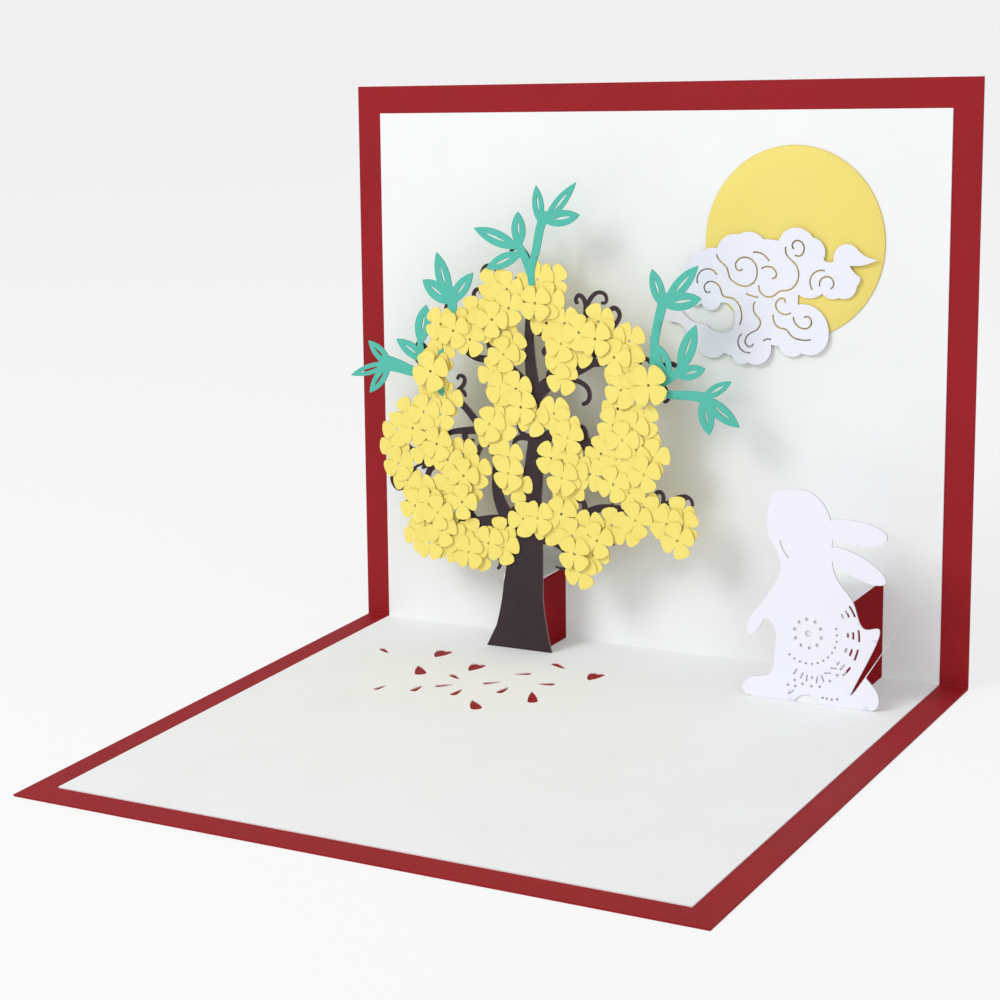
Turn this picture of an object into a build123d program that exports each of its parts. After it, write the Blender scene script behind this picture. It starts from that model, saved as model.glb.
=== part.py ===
from build123d import *
import os
from math import cos, radians, sin, tan

# Pop up card standing open: a red outer card and a white inner sheet share one fold, the inner
# sheet rises in two box steps, and a blossom tree and a rabbit are glued to the fronts of the steps.
# Millimetres. X runs along the fold, -Y is the front of the bottom leaf, +Z is up.

# Overall sizes
leaf_width = 180.0        # along the fold
leaf_depth = 150.0        # from the fold to the free edge, the same for both leaves
lean_angle = 5.2          # how far the back leaf leans back past upright
border = 7.4              # red margin left showing round the white sheet

# Thicknesses of the papers
card_thickness = 0.5
sheet_thickness = 0.3
moon_thickness = 0.3
cloud_thickness = 0.35
tree_thickness = 0.4
lattice_thickness = 0.35
sprig_thickness = 0.3
flower_thickness = 0.3
rabbit_thickness = 0.4

# Steps cut and folded up out of the white sheet
tree_step_left = -36.4
tree_step_right = -24.4
tree_step_depth = 13.1
tree_step_height = 20.3
rabbit_step_left = 50.0
rabbit_step_right = 67.4
rabbit_step_depth = 24.5
rabbit_step_height = 25.6

# Moon on the back leaf
moon_x = 41.8
moon_height = 109.5
moon_radius = 24.4

# Cut details
blossom_reach = 4.9       # centre of a blossom to the tip of a petal
blossom_notch = 0.44 * blossom_reach    # centre of a blossom to the notch between two petals
blossom_eye = 0.35
slit_width = 0.4
vein_width = 0.6
dash_width = 0.55

# Derived placing. The fold's inner corner is the centre that both papers bend round.
fold_height = card_thickness + sheet_thickness
lean_sine = sin(radians(lean_angle))
lean_cosine = cos(radians(lean_angle))
fold_y = (leaf_depth - leaf_depth * lean_sine - fold_height * lean_cosine) / 2


def on_wall(along, behind):
    # A point of the side view: along the back leaf from the fold, and behind its white face.
    return (
        fold_y + along * lean_sine + behind * lean_cosine,
        fold_height + along * lean_cosine - behind * lean_sine,
    )


def on_bend(depth, share):
    # A point of the bend under the fold, from straight down (0) to straight behind (1).
    turn = radians(-90 + share * (90 - lean_angle))
    return (fold_y + depth * cos(turn), fold_height + depth * sin(turn))


def standing_plane(step_out, lift):
    # The plane of a front that stands on the white floor, step_out ahead of the fold,
    # raised by lift off the face that it is glued to.
    return Plane(
        origin=(0, fold_y - step_out - lift * lean_cosine, fold_height + lift * lean_sine),
        x_dir=(1, 0, 0),
        z_dir=(0, -lean_cosine, lean_sine),
    )


def bulged_face(corners):
    # A face whose edge runs through the corners, each (x, y, bulge) with its bulge towards the
    # left of the way to the next corner.
    with BuildSketch() as outline:
        with BuildLine():
            for start, end in zip(corners, corners[1:] + corners[:1]):
                run = Vector(end[0] - start[0], end[1] - start[1])
                middle = Vector(start[0], start[1]) + run * 0.5
                side = Vector(-run.Y, run.X).normalized()
                if start[2] == 0:
                    Line(start[:2], end[:2])
                else:
                    ThreePointArc(start[:2], middle + side * start[2], end[:2])
        make_face()
    return outline.sketch


def strip(points, start_width, end_width):
    # A strip of paper along a smooth line through the points, tapering from one width to the
    # other, with a round far end.
    if len(points) == 2:
        spine = Edge.make_line(points[0], points[1])
    else:
        spine = Edge.make_spline([Vector(x, y) for x, y in points])
    stations = 3 * len(points)
    left = []
    right = []
    for station in range(stations + 1):
        share = station / stations
        half = (start_width + (end_width - start_width) * share) / 2
        heading = spine.tangent_at(share)
        side = Vector(-heading.Y, heading.X) * half
        left.append(spine.position_at(share) + side)
        right.append(spine.position_at(share) - side)
    tip = spine.position_at(1) + spine.tangent_at(1) * (end_width / 2)
    with BuildSketch() as outline:
        with BuildLine():
            Spline(*left)
            ThreePointArc(left[-1], tip, right[-1])
            Spline(*reversed(right))
            Line(right[0], left[0])
        make_face()
    return outline.sketch


def leaf(base, tip, width):
    # A pointed leaf from its base to its tip, with a slit along its middle.
    start = Vector(*base)
    run = Vector(*tip) - start
    with BuildSketch() as outline:
        with BuildLine():
            SagittaArc(base, tip, width / 2)
            SagittaArc(base, tip, -width / 2)
        make_face()
        with BuildLine():
            SagittaArc(start + run * 0.32, start + run * 0.76, vein_width / 2)
            SagittaArc(start + run * 0.32, start + run * 0.76, -vein_width / 2)
        make_face(mode=Mode.SUBTRACT)
    return outline.sketch


def blossom():
    # Four round petals, each one arc from notch to notch.
    with BuildSketch() as outline:
        with BuildLine():
            for quarter in range(4):
                before = Vector(blossom_notch, 0).rotate(Axis.Z, 90 * quarter - 45)
                tip = Vector(blossom_reach, 0).rotate(Axis.Z, 90 * quarter)
                after = Vector(blossom_notch, 0).rotate(Axis.Z, 90 * quarter + 45)
                ThreePointArc(before, tip, after)
        make_face()
    return outline.sketch


def petal_window(length, width, notch):
    # A fallen petal cut out of the floor, pointed at the origin and round or notched at the end.
    with BuildSketch() as outline:
        with BuildLine():
            ThreePointArc((0, 0), (0.42 * length, 0.38 * width), (0.78 * length, 0.5 * width))
            ThreePointArc(
                (0.78 * length, 0.5 * width),
                (0.97 * length, 0.33 * width),
                (length - notch, 0),
            )
            ThreePointArc(
                (length - notch, 0),
                (0.97 * length, -0.33 * width),
                (0.78 * length, -0.5 * width),
            )
            ThreePointArc((0.78 * length, -0.5 * width), (0.42 * length, -0.38 * width), (0, 0))
        make_face()
    return outline.sketch


# Outer card: one sheet folded once, round on the outside of its fold.
with BuildPart() as outer_card:
    with BuildSketch(Plane.YZ.offset(-leaf_width / 2)):
        with BuildLine():
            Line((fold_y - leaf_depth, 0), (fold_y - leaf_depth, card_thickness))
            Line((fold_y - leaf_depth, card_thickness), on_bend(sheet_thickness, 0))
            ThreePointArc(
                on_bend(sheet_thickness, 0),
                on_bend(sheet_thickness, 0.5),
                on_bend(sheet_thickness, 1),
            )
            Line(on_bend(sheet_thickness, 1), on_wall(leaf_depth, sheet_thickness))
            Line(on_wall(leaf_depth, sheet_thickness), on_wall(leaf_depth, fold_height))
            Line(on_wall(leaf_depth, fold_height), on_bend(fold_height, 1))
            ThreePointArc(
                on_bend(fold_height, 1),
                on_bend(fold_height, 0.5),
                on_bend(fold_height, 0),
            )
            Line(on_bend(fold_height, 0), (fold_y - leaf_depth, 0))
        make_face()
    extrude(amount=leaf_width)
outer_card.part.label = "outer_card"

# Inner sheet: white, glued into the outer card, with the windows its two steps rise out of and
# the fallen petals cut from its floor.
sheet_width = leaf_width - 2 * border
sheet_reach = leaf_depth - border
steps = (
    (tree_step_left, tree_step_right, tree_step_depth, tree_step_height),
    (rabbit_step_left, rabbit_step_right, rabbit_step_depth, rabbit_step_height),
)
# Each petal: where its point lies on the floor from the middle of the fold, the way it lies in
# degrees, its length and width, and the depth of the notch in its round end.
petals = (
    (-49.5, -27.8, 92, 6.3, 4.9, 0.9),
    (-34.8, -34.4, 92, 6.3, 4.5, 0.9),
    (-1.5, -29.6, 92, 6.3, 4.5, 0.9),
    (-50.3, -35.2, -52, 8.1, 3.1, 0),
    (-22.3, -53.6, -49, 7.7, 3.0, 0),
    (-11.2, -42.2, -59, 9.0, 2.6, 0),
    (-63.5, -29.6, 146, 5.4, 1.7, 0),
    (-33.5, -41.2, 150, 5.2, 1.7, 0),
    (-11.2, -23.8, 152, 6.6, 2.0, 0),
    (-22.5, -32.5, 28, 4.9, 2.0, 0),
    (-22.0, -38.5, 218, 5.3, 1.9, 0),
    (-32.5, -44.8, 218, 5.5, 1.9, 0),
    (-13.0, -37.0, 19, 5.1, 2.2, 0),
    (-18.4, -41.5, -93, 5.3, 2.0, 0),
    (-29.0, -47.3, -90, 5.3, 2.0, 0),
    (-40.3, -48.8, -92, 5.0, 2.0, 0),
    (-49.3, -52.0, -104, 4.5, 1.6, 0),
)
floor_plane = Plane(origin=(0, fold_y, fold_height), x_dir=(1, 0, 0), z_dir=(0, 0, 1))
with BuildPart() as inner_sheet:
    with BuildSketch(Plane.YZ.offset(-sheet_width / 2)):
        with BuildLine():
            Line((fold_y - sheet_reach, card_thickness), (fold_y - sheet_reach, fold_height))
            Line((fold_y - sheet_reach, fold_height), (fold_y, fold_height))
            Line((fold_y, fold_height), on_wall(sheet_reach, 0))
            Line(on_wall(sheet_reach, 0), on_wall(sheet_reach, sheet_thickness))
            Line(on_wall(sheet_reach, sheet_thickness), on_bend(sheet_thickness, 1))
            ThreePointArc(
                on_bend(sheet_thickness, 1),
                on_bend(sheet_thickness, 0.5),
                on_bend(sheet_thickness, 0),
            )
            Line(on_bend(sheet_thickness, 0), (fold_y - sheet_reach, card_thickness))
        make_face()
    extrude(amount=sheet_width)
    for left, right, depth, height in steps:
        step_top = fold_height + height * lean_cosine
        front = fold_y - depth
        wall_slice = sheet_thickness / lean_cosine
        behind_top = on_wall(height, 0)[0] + wall_slice
        behind_under = behind_top - sheet_thickness * tan(radians(lean_angle))
        front_top = front + height * lean_sine
        front_under = front_top - sheet_thickness * tan(radians(lean_angle))
        # The window from the step's front edge back through the wall
        with BuildSketch(Plane.YZ.offset(left)):
            with BuildLine():
                Polyline(
                    (front, 0),
                    (front, step_top),
                    (behind_top + border, step_top),
                    (behind_top + border, 0),
                    close=True,
                )
            make_face()
        extrude(amount=right - left, mode=Mode.SUBTRACT)
        # The strip folded up out of it: front panel and top panel
        with BuildSketch(Plane.YZ.offset(left)):
            with BuildLine():
                Polyline(
                    (front, card_thickness),
                    (front, fold_height),
                    (front_top, step_top),
                    (behind_top, step_top),
                    (behind_under, step_top - sheet_thickness),
                    (front_under + wall_slice, step_top - sheet_thickness),
                    (front + wall_slice, fold_height),
                    (front + wall_slice, card_thickness),
                    close=True,
                )
            make_face()
        extrude(amount=right - left)
    with BuildSketch(floor_plane):
        for x, y, way, length, width, notch in petals:
            with Locations(Location((x, y, 0), (0, 0, way))):
                add(petal_window(length, width, notch))
    extrude(amount=sheet_thickness, both=True, mode=Mode.SUBTRACT)
inner_sheet.part.label = "inner_sheet"

# Moon: a plain disc glued to the back leaf.
with BuildPart() as moon:
    with BuildSketch(standing_plane(0, 0)):
        with Locations((moon_x, moon_height)):
            Circle(moon_radius)
    extrude(amount=moon_thickness)
moon.part.label = "moon"

# Cloud: scalloped, with swirls cut through it, glued over the lower half of the moon.
cloud_edge = [
    (14.0, 92.6, 0.9), (12.3, 97.6, 1.1), (13.2, 103.6, 1.1), (17.4, 107.0, 0.5),
    (21.0, 107.7, 1.4), (27.2, 111.4, 1.2), (33.8, 110.3, 0.1), (38.0, 110.0, 2.9),
    (47.5, 111.0, 1.6), (50.2, 105.6, -0.5), (53.0, 105.2, 2.5), (59.0, 108.6, -0.7),
    (64.8, 105.9, 0.6), (57.3, 104.2, -0.3), (60.2, 101.4, 0.3), (59.3, 99.2, 1.5),
    (54.4, 96.1, 0.8), (49.9, 97.0, 1.1), (43.4, 96.6, 0), (43.3, 94.0, 2.7),
    (51.9, 87.0, 2.6), (44.6, 81.8, 1.7), (38.3, 83.2, 0), (36.2, 83.6, 2.6),
    (30.0, 78.8, 1.2), (25.4, 80.2, 0.1), (23.2, 81.0, 1.0), (17.5, 80.0, 0.8),
    (12.0, 86.8, -0.5), (7.2, 88.4, 0.2), (5.8, 90.3, 0.5), (11.0, 91.4, -0.3),
    (14.8, 88.4, 0.1), (18.2, 87.9, -1.3), (25.3, 87.0, -0.5), (25.8, 91.5, -0.9),
    (22.0, 93.8, 1.9), (16.6, 93.5, 0.2),
]
cloud_slits = [
    [(28.0, 102.6), (26.9, 102.2), (26.1, 103.4), (26.8, 104.9), (29.0, 105.6), (31.3, 104.4),
     (32.1, 102.0), (31.2, 99.3), (29.0, 98.2), (26.4, 98.8), (24.4, 100.4), (23.6, 102.9),
     (22.0, 104.3), (20.8, 106.0)],
    [(31.0, 106.9), (33.0, 106.8), (35.3, 105.0)],
    [(36.2, 100.4), (37.4, 101.2), (36.8, 102.8), (35.0, 103.4), (33.4, 102.9)],
    [(40.0, 108.5), (40.5, 106.1), (42.5, 104.3), (43.5, 101.5), (42.5, 98.8), (40.4, 97.5),
     (38.3, 97.2), (37.0, 96.2), (35.0, 95.7), (33.0, 96.9), (32.6, 98.4)],
    [(42.2, 108.0), (41.8, 109.2), (42.8, 110.1), (44.3, 109.8), (45.0, 108.2), (44.3, 106.6),
     (42.6, 106.4)],
    [(50.6, 102.7), (48.5, 102.6), (46.9, 101.2), (46.6, 99.5), (47.2, 98.0)],
    [(49.3, 98.8), (49.4, 100.3), (51.0, 101.3), (52.7, 100.6), (53.0, 99.3), (52.3, 98.4)],
    [(20.8, 100.9), (19.0, 102.3), (16.8, 102.0), (15.4, 100.4), (15.4, 98.7)],
    [(19.0, 96.6), (18.0, 96.3), (17.3, 97.6), (18.4, 99.0), (20.1, 99.0), (21.8, 97.5),
     (22.6, 95.6), (25.0, 95.1), (27.2, 93.2), (27.9, 90.6), (27.4, 88.4)],
    [(29.0, 96.3), (30.6, 95.8), (32.3, 95.5)],
    [(31.6, 94.4), (31.1, 93.0), (31.8, 91.0), (33.0, 89.7), (32.6, 87.6), (30.8, 86.5),
     (29.3, 85.2), (29.1, 83.6), (30.2, 82.8), (31.3, 83.5)],
    [(28.0, 86.0), (27.1, 84.6), (27.2, 83.0), (28.4, 81.7), (30.5, 81.3)],
    [(34.0, 84.4), (34.8, 84.9), (36.0, 84.9)],
    [(36.7, 91.3), (36.9, 89.5), (38.3, 88.0), (40.2, 87.6), (41.6, 86.2), (44.0, 85.2),
     (47.0, 85.3)],
    [(39.9, 94.4), (39.5, 95.4), (38.2, 95.2), (37.3, 94.0), (38.0, 92.2), (39.8, 91.4),
     (41.4, 91.8)],
    [(42.2, 90.9), (42.7, 89.4), (44.2, 88.2), (46.0, 88.1), (47.2, 89.4), (46.7, 90.8),
     (45.3, 90.9)],
]
with BuildPart() as cloud:
    with BuildSketch(standing_plane(0, moon_thickness)):
        add(bulged_face(cloud_edge))
        for slit in cloud_slits:
            add(strip(slit, slit_width, slit_width), mode=Mode.SUBTRACT)
    extrude(amount=cloud_thickness)
cloud.part.label = "cloud"

# Tree: one sheet cut to a trunk, boughs and curling twigs, each strip (points, width at its
# start, width at its end) measured from the middle of the card and up from the floor.
trunk_edge = [
    (-41.7, 0.0, 0), (-38.6, 6.0, -0.3), (-36.2, 18.0, -0.3), (-34.6, 31.0, 0),
    (-24.0, 31.0, 0), (-24.0, 14.0, -0.3), (-21.4, 0.0, 0),
]
boughs = [
    # Main stem and the fork over it
    ([(-28.4, 28), (-27.6, 42), (-26.0, 56), (-25.6, 64), (-26.2, 71)], 8.0, 3.6),
    ([(-26.2, 69), (-27.4, 76), (-28.0, 84), (-27.7, 94.3)], 4.2, 1.9),
    ([(-27.8, 88), (-28.6, 91.2), (-29.0, 91.6)], 2.0, 0.8),
    ([(-27.6, 94), (-27.5, 100), (-28.2, 106), (-30.4, 108.5), (-33.4, 107.8)], 1.4, 0.9),
    ([(-27.4, 86.6), (-25.4, 86.2), (-23.9, 85.9), (-22.6, 86.9)], 1.8, 0.5),
    ([(-26.4, 86.0), (-25.9, 87.4)], 1.2, 0.6),
    ([(-26.0, 69.5), (-22.6, 72.6), (-17.7, 75.2), (-13.4, 77.2), (-9.4, 79.3)], 4.0, 3.0),
    ([(-9.8, 78.9), (-8.9, 82.5), (-8.6, 86.8), (-10.8, 90.6)], 3.2, 1.4),
    ([(-9.6, 79.2), (-7.2, 79.2), (-5.3, 79.3)], 2.4, 1.7),
    ([(-8.6, 82.4), (-6.6, 83.7), (-5.0, 84.4)], 1.8, 0.7),
    ([(-10.9, 90.2), (-10.9, 93.4), (-11.7, 95.9), (-13.0, 96.6), (-13.9, 95.6), (-13.6, 94.7)],
     1.5, 1.0),
    ([(-10.8, 93.2), (-9.4, 96.0), (-6.9, 97.6), (-4.9, 96.6), (-5.0, 95.1), (-6.0, 94.9)],
     1.3, 0.8),
    ([(-9.0, 86.4), (-6.0, 88.0), (-3.8, 88.1), (-1.7, 90.0), (-0.9, 92.2), (-2.0, 93.6),
      (-3.8, 92.8)], 0.9, 1.3),
    ([(-17.7, 74.6), (-15.2, 74.5), (-12.6, 73.9), (-10.2, 72.2), (-9.8, 69.9), (-11.6, 68.2)],
     1.5, 1.1),
    ([(-22.4, 72.8), (-21.7, 76.4), (-19.9, 80.2), (-19.4, 83.4), (-18.2, 85.3), (-16.6, 85.7)],
     1.6, 0.6),
    ([(-21.6, 76.6), (-21.2, 80.0), (-22.3, 82.4), (-23.6, 81.8), (-23.4, 80.8)], 1.6, 1.0),
    # Upper left
    ([(-26.6, 70.4), (-30.4, 73.8), (-34.6, 77.0), (-38.4, 78.4), (-44.6, 79.0), (-47.6, 80.9),
      (-48.8, 84.2)], 2.6, 1.6),
    ([(-48.4, 83.2), (-50.4, 84.1)], 1.6, 0.7),
    ([(-48.6, 83.4), (-47.2, 84.8)], 1.4, 0.7),
    ([(-38.2, 78.4), (-39.8, 81.2), (-40.5, 85.8), (-40.6, 89.9), (-42.9, 92.4), (-44.6, 94.2),
      (-44.9, 96.2), (-43.7, 97.3), (-42.8, 96.4)], 2.0, 1.0),
    ([(-42.6, 92.2), (-43.9, 90.8), (-44.4, 89.8)], 1.4, 0.8),
    ([(-40.5, 85.6), (-42.0, 86.3), (-42.7, 85.3)], 1.2, 1.1),
    ([(-40.6, 89.4), (-39.0, 92.6), (-38.0, 94.6)], 1.2, 0.8),
    ([(-38.2, 94.2), (-37.5, 99.6), (-38.4, 103.2), (-40.7, 103.5), (-42.2, 101.4)], 1.0, 1.4),
    ([(-38.2, 94.2), (-34.0, 96.4), (-30.4, 101.2), (-29.2, 100.6)], 1.0, 0.8),
    ([(-38.2, 78.6), (-36.7, 78.4), (-35.4, 78.6)], 1.2, 0.6),
    ([(-28.4, 83.4), (-31.0, 82.4), (-32.9, 83.5), (-32.3, 85.0), (-31.0, 85.4)], 1.4, 0.7),
    ([(-26.8, 86.8), (-22.0, 89.8), (-19.6, 93.0)], 1.2, 0.9),
    ([(-19.6, 84.4), (-14.4, 87.6), (-13.0, 90.0)], 1.2, 0.7),
    # T at the stem's middle
    ([(-25.8, 57.6), (-29.0, 58.3), (-31.9, 57.6), (-33.0, 55.6)], 2.6, 0.9),
    ([(-29.4, 58.4), (-30.8, 60.0), (-31.6, 61.4)], 1.8, 0.8),
    ([(-25.8, 57.8), (-22.6, 58.8), (-19.2, 59.9), (-14.0, 58.0), (-10.0, 57.6)], 3.2, 3.0),
    ([(-16.4, 59.4), (-17.0, 60.8)], 1.2, 0.8),
    ([(-16.0, 60.4), (-16.2, 58.2)], 1.4, 0.9),
    ([(-11.4, 57.4), (-7.6, 57.9), (-3.2, 59.6), (-2.5, 61.4)], 3.8, 1.0),
    ([(-11.2, 57.8), (-10.9, 60.6), (-12.0, 62.2), (-13.3, 61.9)], 1.6, 0.9),
    ([(-10.6, 57.2), (-9.3, 54.8), (-9.3, 52.2)], 3.4, 0.6),
    ([(-9.2, 55.6), (-7.4, 54.6), (-5.7, 53.8)], 1.2, 0.5),
    ([(-4.6, 58.6), (-2.6, 58.4), (-1.6, 57.8), (-2.0, 55.5)], 1.6, 0.6),
    ([(-3.4, 59.4), (0.4, 64.5), (3.0, 66.0), (5.0, 69.2), (7.4, 71.8), (8.6, 75.4), (8.7, 79.4),
      (6.8, 81.0), (5.2, 79.9)], 1.4, 1.1),
    ([(-1.4, 62.6), (-1.8, 65.6), (-1.5, 67.4), (0.4, 72.0), (1.5, 77.0)], 1.2, 0.9),
    ([(8.6, 75.2), (11.6, 74.6), (13.2, 70.6), (12.4, 70.2)], 1.2, 0.9),
    ([(8.6, 75.4), (12.0, 79.6), (14.0, 80.1), (15.7, 79.6)], 1.2, 1.3),
    ([(-2.4, 56.4), (2.0, 56.2), (6.0, 56.4), (8.8, 56.6), (10.2, 58.3)], 1.4, 0.8),
    ([(2.0, 56.4), (1.2, 53.6), (1.6, 52.0)], 1.2, 0.9),
    ([(-9.0, 53.6), (-6.0, 51.0), (-3.2, 50.8)], 0.9, 1.4),
    ([(1.6, 52.4), (4.0, 48.6), (6.6, 46.6)], 1.0, 1.2),
    ([(6.3, 46.2), (5.6, 44.8)], 1.4, 1.0),
    # Lower right
    ([(-26.0, 31.5), (-21.0, 32.6), (-17.0, 36.6), (-13.0, 38.0), (-8.0, 40.4), (-2.8, 41.2),
      (1.0, 41.0)], 3.6, 1.6),
    ([(-2.8, 41.4), (-2.9, 42.2)], 1.4, 0.7),
    ([(0.6, 40.8), (1.1, 42.2)], 1.2, 0.8),
    ([(0.6, 41.0), (0.7, 39.2)], 1.4, 0.9),
    ([(-12.4, 38.0), (-11.2, 40.2), (-11.9, 42.2), (-13.4, 42.0), (-13.8, 41.2)], 2.2, 0.9),
    ([(-13.4, 38.2), (-11.6, 37.0), (-10.4, 35.4)], 2.4, 0.6),
    ([(-16.6, 38.2), (-14.9, 36.8), (-14.6, 34.9)], 1.4, 0.6),
    ([(-16.4, 37.0), (-18.2, 40.4), (-18.4, 41.8)], 1.4, 1.4),
    ([(-18.4, 41.2), (-17.8, 46.4), (-17.6, 52.0), (-16.4, 58.0)], 1.5, 0.8),
    ([(-17.8, 46.2), (-14.6, 47.4), (-13.9, 48.4)], 1.0, 0.9),
    ([(-14.6, 47.4), (-12.4, 50.8), (-11.4, 50.9)], 0.8, 0.6),
    ([(-22.0, 30.4), (-18.2, 29.1), (-16.7, 27.4), (-16.9, 25.2)], 1.6, 1.3),
    ([(-16.7, 25.8), (-16.6, 24.2), (-20.0, 23.9)], 1.5, 0.5),
    ([(-16.8, 24.8), (-13.4, 25.0), (-11.8, 26.6)], 1.2, 0.8),
    ([(-11.8, 26.4), (-8.4, 29.2), (-6.4, 32.0), (-3.6, 32.2), (-1.4, 32.6)], 1.0, 0.6),
    ([(-5.0, 31.9), (-2.8, 31.8)], 1.2, 1.3),
    ([(-6.6, 32.4), (-7.0, 35.3)], 1.0, 0.7),
    ([(1.0, 41.0), (4.6, 39.6), (7.0, 41.0), (10.6, 41.0), (13.0, 43.6), (16.4, 45.7),
      (19.0, 45.9), (20.3, 44.5), (20.0, 43.2)], 1.2, 0.8),
    ([(12.6, 43.3), (15.4, 45.1), (18.2, 45.7)], 1.2, 1.7),
    ([(10.8, 41.0), (12.0, 44.6), (11.4, 46.4), (10.3, 46.5), (9.9, 45.5)], 1.2, 1.0),
    ([(4.8, 39.8), (4.7, 38.4)], 1.4, 1.0),
    ([(4.8, 38.8), (5.3, 36.7), (6.2, 36.7)], 1.0, 1.3),
    # Left bough off the trunk
    ([(-31.4, 30.0), (-35.4, 36.6), (-38.2, 43.6), (-38.5, 51.0), (-38.9, 53.0)], 5.6, 1.3),
    ([(-37.4, 42.0), (-36.7, 45.4)], 1.8, 0.5),
    ([(-33.6, 37.0), (-32.4, 38.6), (-31.0, 38.6)], 2.2, 1.0),
    ([(-38.8, 52.0), (-40.2, 55.5), (-42.2, 57.4), (-43.4, 60.2)], 1.4, 2.2),
    ([(-41.6, 56.0), (-43.2, 54.8), (-44.0, 52.8), (-44.4, 50.8)], 2.2, 0.8),
    ([(-42.9, 59.6), (-45.8, 63.0), (-50.2, 66.8), (-54.6, 69.4), (-55.8, 73.2), (-57.4, 76.0),
      (-60.8, 79.6)], 2.2, 1.2),
    ([(-50.0, 66.4), (-50.2, 69.6), (-48.4, 71.4), (-48.2, 73.2), (-49.4, 73.8), (-50.2, 73.0)],
     1.5, 0.9),
    ([(-50.0, 69.2), (-48.6, 69.5), (-47.9, 68.4)], 1.4, 0.9),
    ([(-60.7, 79.4), (-60.9, 81.6), (-62.6, 82.0), (-62.7, 81.0)], 1.3, 1.0),
    ([(-57.2, 75.6), (-61.6, 76.2), (-63.9, 78.5)], 1.6, 0.8),
    ([(-61.6, 76.4), (-62.4, 74.0)], 1.4, 0.8),
    ([(-57.6, 73.8), (-61.2, 71.5), (-62.8, 71.9), (-63.6, 72.9)], 1.0, 1.1),
    ([(-55.8, 73.4), (-57.4, 74.6)], 1.4, 1.2),
    ([(-57.2, 75.8), (-55.0, 79.8), (-53.6, 85.4), (-54.0, 90.2), (-52.8, 93.2), (-51.4, 92.4),
      (-50.9, 90.5)], 0.9, 0.8),
    ([(-43.4, 59.6), (-46.4, 59.0), (-51.4, 58.4), (-54.6, 56.8)], 2.4, 1.2),
    ([(-47.4, 58.8), (-48.0, 56.8), (-46.9, 55.9), (-45.8, 56.2)], 2.0, 1.3),
    ([(-44.4, 51.0), (-48.6, 49.8), (-54.4, 48.4), (-59.0, 48.9), (-63.8, 47.9), (-65.2, 46.4)],
     1.0, 0.7),
    ([(-48.2, 49.8), (-51.0, 49.2)], 1.6, 1.2),
    ([(-50.2, 49.4), (-50.0, 46.4), (-51.0, 43.6)], 1.0, 1.3),
    ([(-56.6, 48.7), (-58.6, 48.8), (-61.6, 47.8)], 1.6, 1.0),
    ([(-58.0, 48.4), (-60.0, 46.2), (-59.9, 44.2), (-58.4, 43.5)], 2.0, 1.3),
    ([(-54.4, 48.6), (-57.4, 52.6), (-56.0, 53.4), (-55.0, 52.5)], 0.9, 0.9),
    ([(-57.4, 52.6), (-61.4, 56.6), (-63.6, 56.6), (-66.6, 60.2)], 1.0, 1.0),
    ([(-62.8, 56.8), (-61.0, 56.5)], 1.2, 0.7),
    ([(-61.0, 48.4), (-65.2, 52.8), (-67.6, 52.2)], 1.0, 1.1),
    ([(-65.2, 52.8), (-69.8, 54.6), (-73.2, 53.0)], 0.9, 0.7),
    ([(-67.6, 52.4), (-70.6, 57.6), (-73.2, 59.3)], 0.8, 0.6),
    ([(-64.6, 47.2), (-67.6, 42.2), (-70.0, 41.2), (-71.6, 42.6), (-72.0, 44.6)], 1.0, 0.9),
    ([(-64.8, 46.8), (-63.6, 40.0), (-65.6, 35.6), (-66.8, 36.8), (-67.0, 38.2)], 0.9, 0.8),
    # Lowest left bough
    ([(-33.4, 33.0), (-38.0, 34.6), (-45.0, 34.0), (-51.0, 34.3), (-53.4, 33.8)], 4.6, 1.5),
    ([(-45.2, 34.6), (-46.3, 36.4), (-46.6, 38.8)], 2.2, 0.8),
    ([(-47.6, 33.8), (-50.0, 32.4), (-50.9, 30.6)], 3.0, 0.9),
    ([(-39.6, 34.0), (-42.0, 31.4), (-43.6, 28.0)], 3.2, 0.8),
    ([(-53.0, 33.8), (-55.2, 38.0), (-54.0, 40.2)], 1.0, 1.2),
    ([(-54.8, 37.4), (-58.8, 37.4), (-60.4, 38.2)], 1.0, 1.4),
    ([(-59.6, 37.6), (-60.2, 33.2), (-57.6, 30.4), (-54.4, 29.6)], 1.0, 1.3),
    ([(-57.0, 30.0), (-56.8, 25.6), (-53.9, 25.4), (-49.5, 25.9)], 0.9, 1.2),
    ([(-50.8, 30.8), (-49.6, 26.2)], 0.9, 1.2),
    ([(-43.6, 28.4), (-46.8, 26.6), (-49.0, 25.9)], 0.8, 0.8),
    ([(-43.4, 28.2), (-40.4, 25.7), (-38.4, 25.4), (-37.3, 23.6), (-37.9, 21.8)], 1.4, 0.9),
    ([(-36.0, 25.6), (-38.8, 25.6)], 1.4, 1.4),
    ([(-39.4, 53.0), (-36.6, 55.6), (-37.0, 58.0), (-38.0, 60.6), (-36.4, 62.4), (-38.4, 66.0),
      (-38.8, 67.6), (-37.2, 68.6)], 1.0, 0.8),
    ([(-36.6, 62.4), (-33.0, 65.6), (-28.8, 65.6), (-26.4, 66.4)], 0.9, 0.8),
]
with BuildPart() as tree:
    with BuildSketch(standing_plane(tree_step_depth, 0)):
        add(bulged_face(trunk_edge))
        add([strip(points, start, end) for points, start, end in boughs])
    extrude(amount=tree_thickness)
tree.part.label = "tree"

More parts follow.
